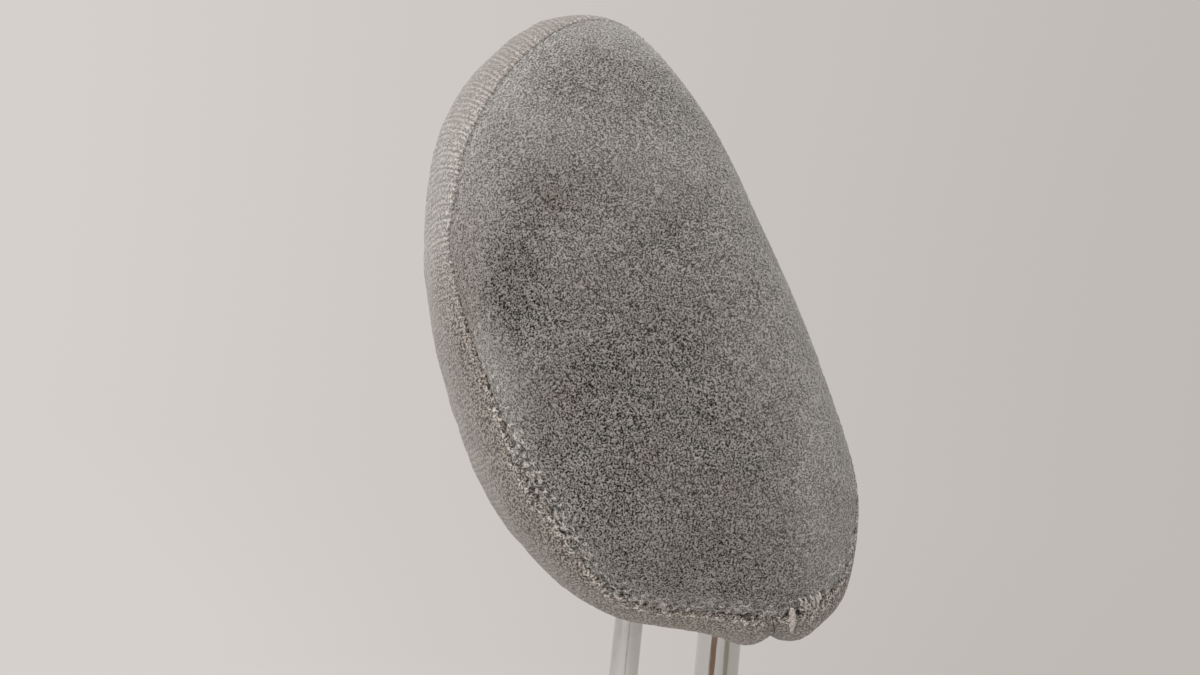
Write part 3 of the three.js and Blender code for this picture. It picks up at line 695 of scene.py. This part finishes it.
def end_panel(side):
    """One end panel as a closed thick sheet. A square grid is pressed into a disc, and
    the disc, longer along the outline's long axis, is laid on the end form. From there
    each point moves outwards by the swelling, the dents and the pile, and drops at the
    seam. The edge then turns in, and rings of points close the back."""
    count_u, count_v = round(end_wide / end_cell), round(end_tall / end_cell)
    u = np.linspace(-1, 1, count_u + 1)[None, :]
    v = np.linspace(-1, 1, count_v + 1)[:, None]
    a, b = u * np.sqrt(1 - v ** 2 / 2), v * np.sqrt(1 - u ** 2 / 2)

    def form(a, b):
        angle = np.arctan2(disc_tall * b, disc_wide * a) + disc_lean
        return end_form(angle, np.hypot(a, b), side)

    base = form(a, b)
    out = outward(form, a, b, (0.004, 0.004))
    rho = np.hypot(a, b)
    angle = np.arctan2(disc_tall * b, disc_wide * a) + disc_lean
    along = along_of_angle(angle)
    reach = np.linalg.norm(outline_at(along) - centre_yz, axis=-1) * seam_share(along)
    distance = (1 - rho) * reach * rim_slope
    column = (fill_end - 1 + fill_band - 1) + (1 - rho) * fill_end
    if side < 0:
        column = swelling.shape[1] - 1 - column
    y, z = base[..., 1], base[..., 2] - crossbar_z
    _, pucker, _ = seam_values(along)
    strokes = waves(base, 2.0, 91 + side)
    curls = strokes * pucker * fade(distance, 3)
    pile = waves(base, 1.3, 11 + side) + 0.6 * curls
    slow = waves(base, 26, 31 + side)
    # Painted sheen and light beside the seam, painted light and shade in spots, and a slow
    # random part.
    rim = np.interp(compass(along), rim_round, rim_painted_light) * fade(distance, 10)
    painted_light_shade = bumps(y, z, end_light_shade_spots) + rim + 0.15 * slow
    lift = swelling_at(along, column) + bumps(y, z, end_dents) + 0.25 * slow
    lift = lift * (1 - fade(distance, 6))
    relief = 0.07 - 0.03 * np.clip(painted_light_shade, 0, 1)
    lift = lift + relief * pile + 0.15 * curls - seam_drop(along, distance)
    top = base + out * lift[..., None]
    edge = np.concatenate([
        np.arange(count_u), count_u + (count_u + 1) * np.arange(count_v),
        (count_u + 1) * count_v + np.arange(count_u, 0, -1),
        (count_u + 1) * np.arange(count_v, 0, -1),
    ])
    edge_a = np.broadcast_to(a, rho.shape).ravel()[edge]
    edge_b = np.broadcast_to(b, rho.shape).ravel()[edge]
    back = []
    for shrink in (1.0, 0.97, 0.85, 0.6, 0.3):
        spot = form(edge_a * shrink, edge_b * shrink)
        spot_out = outward(form, edge_a * shrink, edge_b * shrink, (0.004, 0.004))
        back.append(spot - cover_thickness * spot_out)
    last = np.array([[side * (half_width - cover_thickness), centre_yz[0],
                      centre_yz[1] + crossbar_z]])
    grid_points = top.reshape(-1, 3)
    points = np.concatenate([grid_points, *back, last])
    size, ring = len(grid_points), len(edge)
    rings = [edge, *(size + k * ring + np.arange(ring) for k in range(len(back)))]
    faces = [grid_faces(count_v + 1, count_u + 1)]
    for outer, inner in zip(rings, rings[1:]):
        faces.append(np.stack([np.roll(outer, -1), outer, inner, np.roll(inner, -1)], -1))
    faces.append(np.stack([np.roll(inner, -1), inner, np.full(ring, len(points) - 1)], -1))
    if side < 0:
        faces = [block[:, ::-1] for block in faces]
    inside = len(points) - size
    tuft, painted_shadow = seam_shade(along, distance, strokes)
    # Low on the panel near the seam: there the pile's gaps are made near black, so it darkens
    # towards its lower edge.
    low = np.clip((np.cos(angle - np.radians(264)) - 0.72) / 0.22, 0, 1) * fade(distance, 24)
    rows = {"pile": pile, "painted_light_shade": np.clip(painted_light_shade, -1, 1.2), "lower_pile": 0.9 * low,
            "brown": bumps(y, z, end_browned) + 0.15 * waves(base, 18, 41 + side),
            "tuft": tuft, "painted_shadow": painted_shadow}
    values = {key: np.concatenate([np.broadcast_to(v, rho.shape).ravel(), np.zeros(inside)])
              for key, v in rows.items()}
    return points, faces, values


def attribute(tree, name):
    """A float attribute of the mesh."""
    return node_of(tree, "ShaderNodeAttribute", attribute_name=name).outputs["Fac"]


def laid(tree, under, name, low, high, most, over):
    """The colour under, which turns into the colour over as a mesh attribute goes from
    low to high; most is the largest share that over gets."""
    return mixed(tree, ramp(tree, attribute(tree, name), low, high, 0, most), under, over)


def scaled(tree, value, factor):
    """value times factor; either may be a link."""
    made = node_of(tree, "ShaderNodeMath", {0: value}, operation="MULTIPLY")
    if isinstance(factor, (int, float)):
        made.inputs[1].default_value = factor
    else:
        tree.links.new(factor, made.inputs[1])
    return made.outputs[0]


def added(tree, first, second):
    """The sum of two values, both links."""
    return node_of(tree, "ShaderNodeMath", {0: first, 1: second}, operation="ADD").outputs[0]


# Colour of the painted shadow in the seam's pits, between its tufts and along the closure's
# crease.
seam_shadow_colour = (0.03, 0.024, 0.021)


def make_end_velour():
    """Grey plush: light pile tips with dark gaps between them, in worm-like clumps
    about half a millimetre across; the gaps are the bump's hollows, darkened with painted
    shade. Painted sheen and light make it paler and its relief flatter in places, and
    painted shade darker in others. Low on the panel it is more open and contrasted, its
    gaps near black, so it darkens towards the lower edge. It is browner where it is worn,
    palest in the tufts beside the seam and darkest in the seam's pits, where painted
    shadow is laid."""
    material, tree, surface = shader("end_velour", (0.2, 0.19, 0.185), 0.95, sheen=0.4,
                                     specular=0.1)
    surface.inputs["Sheen Roughness"].default_value = 0.4
    place = object_point(tree)
    clumps = noise(tree, place, 2300, 1.0, 0.4)
    fibres = noise(tree, place, 6000, 1.0, 0.5)
    # Light pile tips and dark gaps: the gaps are the bump's hollows, so their darkness is
    # painted shade besides the pile's own speckle.
    tips = added(tree, scaled(tree, attribute(tree, "pile"), 0.025),
                 added(tree, clumps, scaled(tree, fibres, 0.3)))
    tips = ramp(tree, tips, 0.52, 0.78)
    # Painted light and shade: both the tips' and the gaps' colours run from darker to paler with
    # it.
    painted_light_shade = ramp(tree, attribute(tree, "painted_light_shade"), -0.5, 1.2)
    light = mixed(tree, painted_light_shade, (0.31, 0.289, 0.268), (0.41, 0.387, 0.36))
    dark = mixed(tree, painted_light_shade, (0.012, 0.011, 0.01), (0.14, 0.131, 0.121))
    colour = mixed(tree, tips, dark, light)
    # Low on the panel: paler tips and gaps near black, darker towards the lower edge.
    lower_pile_colour = mixed(tree, tips, (0.006, 0.006, 0.005), (0.385, 0.36, 0.333))
    colour = mixed(tree, attribute(tree, "lower_pile"), colour, lower_pile_colour)
    brown = mixed(tree, tips, (0.04, 0.031, 0.025), (0.31, 0.257, 0.222))
    colour = laid(tree, colour, "brown", 0.1, 1.0, 0.85, brown)
    pale = mixed(tree, tips, (0.12, 0.11, 0.1), (0.7, 0.66, 0.61))
    colour = laid(tree, colour, "tuft", 0.05, 0.7, 0.85, pale)
    # Painted shadow in the seam's pits and between its tufts.
    colour = laid(tree, colour, "painted_shadow", 0.1, 0.9, 0.9, seam_shadow_colour)
    tree.links.new(colour, surface.inputs["Base Color"])
    bumped(tree, surface, tips, 0.0003, 0.8)
    return material


end_velour = make_end_velour()
for side, word in ((-1, "left"), (1, "right")):
    points, faces, values = end_panel(side)
    panel = put_mesh(f"end_panel_{word}", points, faces, end_velour)
    paint(panel, **values)
    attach(panel, "cushion")
    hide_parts(f"cover_side_{word}")


# Wrap panel: one long strip of ribbed velour round the front, top, rear and underside.
# Its two hems meet in the closure under the cushion, and it has two slots for the posts.
band_row, band_half = 0.8, 116.0  # step between rows, and the half that columns divide
middle_half = 118.5  # x that t = 1 would have if the middle's spacing went on to the seam
closure_half = 0.08  # half the gap between the two hems
bend_start, closure_bend = 84.0, 4.0  # where the closure leaves its line, and how far
slit_end, slit_fade = 103.0, 12.0
lobe_place, lobe_spread, lobe_height = 8.0, 5.5, 1.3
slot_x = np.array([67.65, 82.35])
slot_y = (-16.6, 25.6)
rib_pitch = 1.4


def band_columns():
    """Columns from seam to seam: 0.6 mm apart in X for 24 mm at each seam, then widening
    to 3 mm, with a column on each edge of both slots."""
    near = np.concatenate([np.arange(0, 24, 0.6), 24 + np.cumsum(np.linspace(0.8, 3.0, 12))])
    middle = np.linspace(0, band_half - near[-1], 24)[:-1]
    half = np.concatenate([middle, band_half - near[::-1]])
    for edge in slot_x * band_half / middle_half:
        half[np.argmin(np.abs(half - edge))] = edge
    return np.concatenate([-half[:0:-1], half]) / band_half


def band_rows():
    """Rows once round from the closure's rear hem to its front one, 0.8 mm apart, and
    closer together at the hems."""
    close = np.array([0.0, 0.15, 0.35, 0.6, 0.95, 1.4, 2.0])
    length = outline_length - 2 * closure_half
    steady = np.linspace(2.6, length - 2.6, round((length - 5.2) / band_row))
    return closure_along + closure_half + np.concatenate([close, steady, length - close[::-1]])


def make_band_velour():
    """Ribbed velour: fine ribs across the strip over speckled pile that is drawn out
    along the strip's width; its dark gaps are the bump's hollows, darkened with painted
    shade. It is smooth and pale high in front and darker over the top, where painted
    shade is laid, and browner and rougher low in front and below, with darker gaps
    towards the bottom and grey patches. Painted shadow darkens the seam's pits and
    the closure's crease."""
    material, tree, surface = shader("band_velour", (0.25, 0.23, 0.215), 0.95, sheen=0.3,
                                     specular=0.1)
    surface.inputs["Sheen Roughness"].default_value = 0.5
    place = object_point(tree, (0.4, 1, 1))
    clumps = noise(tree, place, 2000, 1.0, 0.5)
    mottle = noise(tree, object_point(tree), 90, 3)
    # Low in front and below: ribs fade and the colour turns browner, with gaps near black
    # towards the bottom.
    rough = attribute(tree, "rough")
    ribs = scaled(tree, attribute(tree, "rib"), ramp(tree, rough, 0, 1, 0.13, 0.02))
    # Light pile tips and dark gaps: the gaps are the bump's hollows, so their darkness is
    # painted shade besides the pile's own speckle.
    tips = ramp(tree, added(tree, ribs, clumps), 0.41, 0.59)
    # Painted shade over the top: both colours are darker where high reaches 1.
    high = attribute(tree, "high")
    light = mixed(tree, high, (0.42, 0.39, 0.36), (0.29, 0.26, 0.232))
    light = mixed(tree, rough, light, (0.39, 0.337, 0.294))
    dark = mixed(tree, high, (0.18, 0.163, 0.148), (0.16, 0.142, 0.127))
    dark = mixed(tree, rough, dark, (0.025, 0.02, 0.016))
    colour = mixed(tree, tips, dark, light)
    grey = mixed(tree, tips, (0.08, 0.079, 0.072), (0.33, 0.325, 0.3))
    patch = added(tree, attribute(tree, "greyed"), ramp(tree, mottle, 0.5, 0.75, 0, 0.2))
    colour = mixed(tree, ramp(tree, patch, 0.2, 1.2, 0, 0.7), colour, grey)
    pale = mixed(tree, tips, (0.12, 0.105, 0.094), (0.72, 0.68, 0.63))
    colour = laid(tree, colour, "tuft", 0.05, 0.6, 0.9, pale)
    # Painted shadow in the seam's pits, between its tufts and along the closure's crease.
    colour = laid(tree, colour, "painted_shadow", 0.1, 0.9, 0.9, seam_shadow_colour)
    tree.links.new(colour, surface.inputs["Base Color"])
    bumped(tree, surface, tips, 0.00025, 0.8)
    return material


def wrap_panel():
    """The wrap panel as a closed thick sheet. Both faces are the same grid of rows
    round the outline and columns across, the back one 4 mm further in. Across, t is
    spread so that the middle columns keep one x each, two of them on a slot's edges,
    and the last ones follow the seams. Near the closure the rows bend forwards at the
    seams. Cells inside a slot are left out, and walls close the hems, seam edges and
    slots. The face drops at its edges, and swells into two lobes beside the closure,
    whose slit is open up to slit_end."""
    rows, columns = band_rows(), band_columns()
    past, t = np.broadcast_arrays(rows[:, None] - closure_along, columns[None, :])
    bent = np.clip((np.abs(t) * band_half - bend_start) / (band_half - bend_start), 0, 1)
    near = fade(past, 25) + fade(outline_length - past, 25)
    along = past + closure_along - closure_bend * bent ** 1.5 * near
    seam_x = half_width * other_axis(seam_share(along))
    blend = np.clip((np.abs(t) - 0.75) / 0.25, 0, 1)
    blend = blend ** 2 * (3 - 2 * blend)
    t = t * (middle_half * (1 - blend) + seam_x * blend) / seam_x
    base = band_form(along, t)
    out = outward(band_form, along, t, (0.5, 0.002))
    steps = np.linalg.norm(np.diff(base, axis=1), axis=-1)
    from_left = np.concatenate([np.zeros((len(rows), 1)), np.cumsum(steps, axis=1)], 1)
    to_seam = np.minimum(from_left, from_left[:, -1:] - from_left)
    to_hem = np.minimum(past - closure_half, outline_length - closure_half - past)
    to_hem = np.maximum(to_hem, 0)
    x, y = np.abs(base[..., 0]), base[..., 1]
    below = base[..., 2] < crossbar_z - 30
    apart = np.maximum(np.maximum(slot_x[0] - x, x - slot_x[1]),
                       np.maximum(slot_y[0] - y, y - slot_y[1]))
    to_slot = np.where(below, apart, 99)
    pile = waves(base, 2.2, 51)
    slow = waves(base, 24, 61)
    _, pucker, _ = seam_values(along)
    strokes = waves(base, 1.9, 95, (0.15, 1, 1))
    curls = strokes * pucker * fade(to_seam, 4)
    column = (fill_end - 1) + (t + 1) / 2 * (fill_band - 1)
    lift = (swelling_at(along, column) + 0.2 * slow) * (1 - fade(to_seam, 6))
    lift = lift * (1 - fade(to_hem, 5)) * (1 - fade(to_slot, 5))
    lobes = lobe_height * fade(to_hem - lobe_place, lobe_spread)
    # Low in front and below, more so near the seams: ribs fade and the colour turns browner, its
    # gaps darker towards the bottom.
    front_low = np.clip((56 - (base[..., 2] - crossbar_z)) / 30, 0, 1)
    front_low = front_low * (0.45 + 0.55 * fade(to_seam, 32))
    ribs = np.cos(2 * np.pi * (along - closure_along) / rib_pitch)
    # Painted shade over the top of the band.
    high = np.clip((base[..., 2] - crossbar_z - 75) / 35, 0, 1)
    lift = lift + lobes + 0.05 * pile + 0.25 * curls
    lift = lift - seam_drop(along, to_seam) - rolled(to_hem, 0.4)
    open_part = np.clip((slit_end - x) / slit_fade, 0.1, 1)
    lift = lift - 1.1 * fade(to_hem, 3.2) - 1.2 * open_part * np.exp(-to_hem / 1.2)
    lift = lift - rolled(np.maximum(to_slot, 0), 1.6)
    top = base + out * lift[..., None]
    back = base - out * cover_thickness
    count = top.shape[0] * top.shape[1]
    cells = grid_faces(*top.shape[:2])
    cells = cells[to_slot.ravel()[cells].mean(-1) > 0]
    rims = np.concatenate([cells[:, [k, (k + 1) % 4]] for k in range(4)])
    codes = rims[:, 0] * count + rims[:, 1]
    opposite = rims[:, 1] * count + rims[:, 0]
    rims = rims[~np.isin(codes, opposite)]
    walls = np.stack([rims[:, 1], rims[:, 0], rims[:, 0] + count, rims[:, 1] + count], -1)
    faces = [cells, cells[:, ::-1] + count, walls]
    points = np.concatenate([top.reshape(-1, 3), back.reshape(-1, 3)])
    used = np.unique(np.concatenate([block.ravel() for block in faces]))
    renumber = np.zeros(len(points), int)
    renumber[used] = np.arange(len(used))
    tuft, painted_shadow = seam_shade(along, to_seam, strokes)
    # Painted shadow along the closure's crease, broken in places.
    broken = np.clip(0.5 + 0.5 * waves(base, 5, 81), 0.1, 1)
    painted_shadow = np.maximum(painted_shadow, 0.5 * broken * fade(to_hem, 0.3))
    tufty = np.clip(0.5 + strokes, 0, 1.5) * fade(to_seam, 6)
    tuft = tuft + 0.09 * (1 - front_low) * tufty
    greyed = np.clip(0.22 * waves(base, 20, 71) * front_low + 0.5 * fade(to_hem, 9), 0, 1.2)
    rows = {"rib": ribs, "rough": front_low, "high": high, "greyed": greyed, "tuft": tuft,
            "painted_shadow": painted_shadow}
    values = {key: np.concatenate([v.ravel(), 0 * v.ravel()])[used] for key, v in rows.items()}
    return points[used], [renumber[block] for block in faces], values


points, faces, values = wrap_panel()
wrap = put_mesh("wrap_panel", points, faces, make_band_velour())
paint(wrap, **values)
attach(wrap, "cushion")
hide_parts("cover_band")


# Seam thread: grey polyester stitches, each a short arc across the groove between an
# end panel and the wrap panel, pulled tight in a pit of the seam.
def make_thread(name, colour):
    """Spun thread: fuzzy and dull, darker in the grooves of its twist, where painted shade is
    laid.
    """
    material, tree, surface = shader(name, colour, 0.8, sheen=0.3, specular=0.2)
    place = object_point(tree)
    twist = ramp(tree, noise(tree, place, 2600, 2), 0.35, 0.65)
    darker = tuple(c * 0.62 for c in colour)
    # Painted shade in the grooves of the twist, the bump's hollows.
    tree.links.new(mixed(tree, twist, darker, colour), surface.inputs["Base Color"])
    bumped(tree, surface, twist, 0.00008)
    return material


def arcs(feet, tops, radius, sides=6, steps=7):
    """Threads as one mesh: each bends from its first foot over its top to its second
    foot along a parabola, and is closed at both feet."""
    points, faces = [], []
    w = np.linspace(0, 1, steps)[:, None]
    for (first, second), top in zip(feet, tops):
        path = (1 - w) ** 2 * first + 2 * w * (1 - w) * (2 * top - (first + second) / 2)
        path = path + w ** 2 * second
        made, blocks = rod_mesh(rod(path, radius, sides, top - (first + second) / 2 + 1e-4),
                                np.array([path[0], path[-1]]), len(points))
        points.extend(made)
        faces.extend(blocks)
    return np.array(points), faces


def seam_stitches(side):
    """Feet and tops of the stitches of one seam: 1.1 mm into each panel from the seam
    line, at the whole turns of the stitches' beat."""
    fine = np.linspace(0, outline_length, 8000)
    along = np.interp(np.arange(stitch_count) + 0.3, stitch_turn(fine), fine)
    depth, _, _ = seam_values(along)
    t = np.full(len(along), float(side))
    angle = np.radians(compass(along))
    line = band_form(along, t)
    towards_band = unit(band_form(along, t * 0.98) - line)
    towards_end = unit(end_form(angle, np.full(len(t), 0.98), side) - line)
    out = outward(band_form, along, t, (0.5, 0.002))
    sunk = line - out * (depth * 0.75)[:, None]
    first = sunk + towards_band * 1.1
    second = sunk + towards_end * 1.1
    return list(zip(first, second)), list(sunk + out * 0.25)


for side, word in ((-1, "left"), (1, "right")):
    points, faces = arcs(*seam_stitches(side), 0.24)
    stitches = put_mesh(f"seam_stitches_{word}", points, faces,
                        make_thread(f"seam_thread_{word}", (0.2, 0.18, 0.165)))
    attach(stitches, "cushion")


# Loose ends at the closure: a pale thread end of three twisted strands that leaves the
# end panel and hangs over the rear lobe, and loops of pale yarn pulled out beside it.
thread_along = closure_along + 2.3
thread_start, thread_end = -2.4, 5.2
band_steps, end_steps = 75, 80  # how many units of reach make a whole step of t or rho


def near_seam(along, reach, lift):
    """A point beside the +X seam, lift mm above the form. A reach above 0 is on the
    wrap panel, where a unit is about 1.9 mm along the cloth, and one below 0 on the
    end panel, where it is about 1.4 mm."""
    along = np.array([along])
    if reach >= 0:
        t = np.array([1 - reach / band_steps])
        spot, out = band_form(along, t), outward(band_form, along, t - 0.003, (0.5, 0.002))
    else:
        form = lambda a, b: end_form(a, b, 1)
        angle, rho = np.radians(compass(along)), np.array([1 + reach / end_steps])
        spot, out = form(angle, rho), outward(form, angle, rho - 0.003, (0.005, 0.002))
    return (spot + out * lift)[0]


def loose_thread():
    """Three strands wound round one another along a line that starts on the end panel,
    crosses the seam and ends on the wrap panel, where each tapers."""
    reach = np.linspace(thread_start, thread_end, 30)
    start, middle, end = (near_seam(thread_along, r, lift) for r, lift in (
        (thread_start, 0.5), (0.8, 0.9), (thread_end, 0.5)))
    w = np.linspace(0, 1, len(reach))[:, None]
    line = start * (1 - w) ** 2 + end * w ** 2 + 2 * w * (1 - w) * middle
    ahead = unit(np.gradient(line, axis=0))
    first = unit(np.cross(ahead, (1.0, 0.3, 0.2)))
    second = np.cross(ahead, first)
    slim = np.interp(reach, [thread_start, -1.0, 1.5, 3.6, thread_end],
                     [0.25, 0.5, 0.58, 0.42, 0.1])
    points, faces = [], []
    for k in range(3):
        turn = (reach * 1.1 + 2 * np.pi * k / 3)[:, None]
        spread = (slim * 0.9)[:, None]
        path = line + spread * (np.cos(turn) * first + np.sin(turn) * second)
        made, blocks = rod_mesh(rod(path, slim, 8, first[0]), path[[0, -1]], len(points))
        points.extend(made)
        faces.extend(blocks)
    return np.array(points), faces


def yarn_loops():
    """Small loops of pile yarn on both sides of the seam behind the closure, lying
    every way, each with both feet in the cloth."""
    draw = np.random.default_rng(8)
    feet, tops = [], []
    for _ in range(34):
        along, reach = closure_along + draw.uniform(5, 12.5), draw.uniform(-3.4, 2.4)
        lean, half = draw.uniform(0, 2 * np.pi), draw.uniform(0.45, 0.9)
        da, dr = half * math.cos(lean), half * math.sin(lean)
        feet.append([near_seam(along + sign * da, reach + sign * dr, -0.3) for sign in (-1, 1)])
        tops.append(near_seam(along + 0.5 * dr, reach - 0.5 * da, draw.uniform(0.5, 0.9)))
    return feet, tops


pale_yarn = make_thread("pale_yarn", (0.66, 0.59, 0.55))
loose = put_mesh("loose_thread_end", *loose_thread(), pale_yarn)
loops = put_mesh("yarn_loops", *arcs(*yarn_loops(), 0.27, 8, 9),
                 make_thread("pile_yarn", (0.58, 0.54, 0.5)))
for piece in (loose, loops):
    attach(piece, "cushion")


# Floor and backdrop: a plain pale floor, matt near the part, that fades with distance
# into the colour of the pale background, which is a little darker on one side.
def backdrop(tree, direction):
    """The background's colour in a direction: paler towards -Y than towards +Y."""
    across = node_of(tree, "ShaderNodeSeparateXYZ", {"Vector": direction}).outputs["Y"]
    return mixed(tree, ramp(tree, across, -0.43, 0.63), (0.665, 0.63, 0.6), (0.52, 0.49, 0.46))


def make_floor():
    """Matt paint near the part, turning into the backdrop's own colour between half a
    metre and a metre away."""
    material, tree, surface = shader("floor", (0.58, 0.55, 0.52), 0.9, specular=0.1)
    place = node_of(tree, "ShaderNodeTexCoord").outputs["Object"]
    reach = node_of(tree, "ShaderNodeVectorMath", {0: place}, operation="LENGTH")
    lowered = node_of(tree, "ShaderNodeVectorMath", {0: place}, operation="SUBTRACT")
    lowered.inputs[1].default_value = (0, 0, 0.22)
    direction = node_of(tree, "ShaderNodeVectorMath", {0: lowered.outputs[0]},
                        operation="NORMALIZE")
    far = node_of(tree, "ShaderNodeEmission",
                  {"Color": backdrop(tree, direction.outputs[0])})
    both = node_of(tree, "ShaderNodeMixShader",
                   {0: ramp(tree, reach.outputs["Value"], 0.4, 0.75),
                    1: surface.outputs[0], 2: far.outputs[0]})
    tree.links.new(both.outputs[0], tree.nodes["Material Output"].inputs["Surface"])
    return material


floor_side = 20000 * np.array([[-1, -1, 0], [1, -1, 0], [1, 1, 0], [-1, 1, 0]])
floor = put_mesh("floor", floor_side, [np.array([[0, 1, 2, 3]])], make_floor())


# Strips: two narrow backdrops beside the near post that only reflections see. They
# give the chrome the brown and olive lines that the photographed post reflects.
for name, (x0, y0), (x1, y1), colour in (
        ("brown_strip", (88.0, -15.2), (101.0, -11.4), (0.5, 0.34, 0.25)),
        ("olive_strip", (95.5, 4.5), (91.5, 11.0), (0.75, 0.71, 0.63))):
    strip_side = np.array([[x0, y0, 0], [x1, y1, 0], [x1, y1, 162.5], [x0, y0, 162.5]])
    strip = put_mesh(name, strip_side, [np.array([[0, 1, 2, 3]])],
                     shader(name, colour, 0.9, specular=0.1)[0], flat=True)
    strip.visible_camera = strip.visible_diffuse = strip.visible_shadow = False
    strip.visible_transmission = False


# Lights: a large soft lamp overhead in front, a weaker one beside the camera, and an
# even pale surrounding. What the camera and the chrome see of it is the backdrop.
def soft_lamp(name, place, aim, size, power):
    """A square lamp at a place, turned to face the aim, in metres and watts."""
    lamp = bpy.data.lights.new(name, "AREA")
    lamp.size = size
    lamp.energy = power
    z = unit(np.array(place, float) - np.array(aim, float))
    x = unit(np.cross((0.0, 1.0, 0.01), z))
    put_object(name, lamp, (x, np.cross(z, x), z), place)


soft_lamp("lamp_above", (0.6, -0.6, 1.5), (0, 0, 0.25), 1.2, 21)
soft_lamp("lamp_front", (1.2, -1.2, 0.6), (0, 0, 0.25), 1.2, 5.5)

world = bpy.data.worlds.new("world")
bpy.context.scene.world = world
world.use_nodes = True
tree = world.node_tree
even = tree.nodes["Background"]
even.inputs["Color"].default_value = (0.9, 0.9, 0.9, 1)
even.inputs["Strength"].default_value = 0.8
sky = node_of(tree, "ShaderNodeTexCoord").outputs["Generated"]
seen = node_of(tree, "ShaderNodeBackground", {"Color": backdrop(tree, sky)})
path = node_of(tree, "ShaderNodeLightPath")
either = path.outputs["Is Camera Ray"]
for word in ("Is Glossy Ray", "Is Transmission Ray"):
    either = node_of(tree, "ShaderNodeMath", {0: either, 1: path.outputs[word]},
                     operation="MAXIMUM").outputs[0]
both = node_of(tree, "ShaderNodeMixShader", {0: either, 1: even.outputs[0], 2: seen.outputs[0]})
tree.links.new(both.outputs[0], tree.nodes["World Output"].inputs["Surface"])

bpy.context.scene.view_settings.view_transform = "Standard"
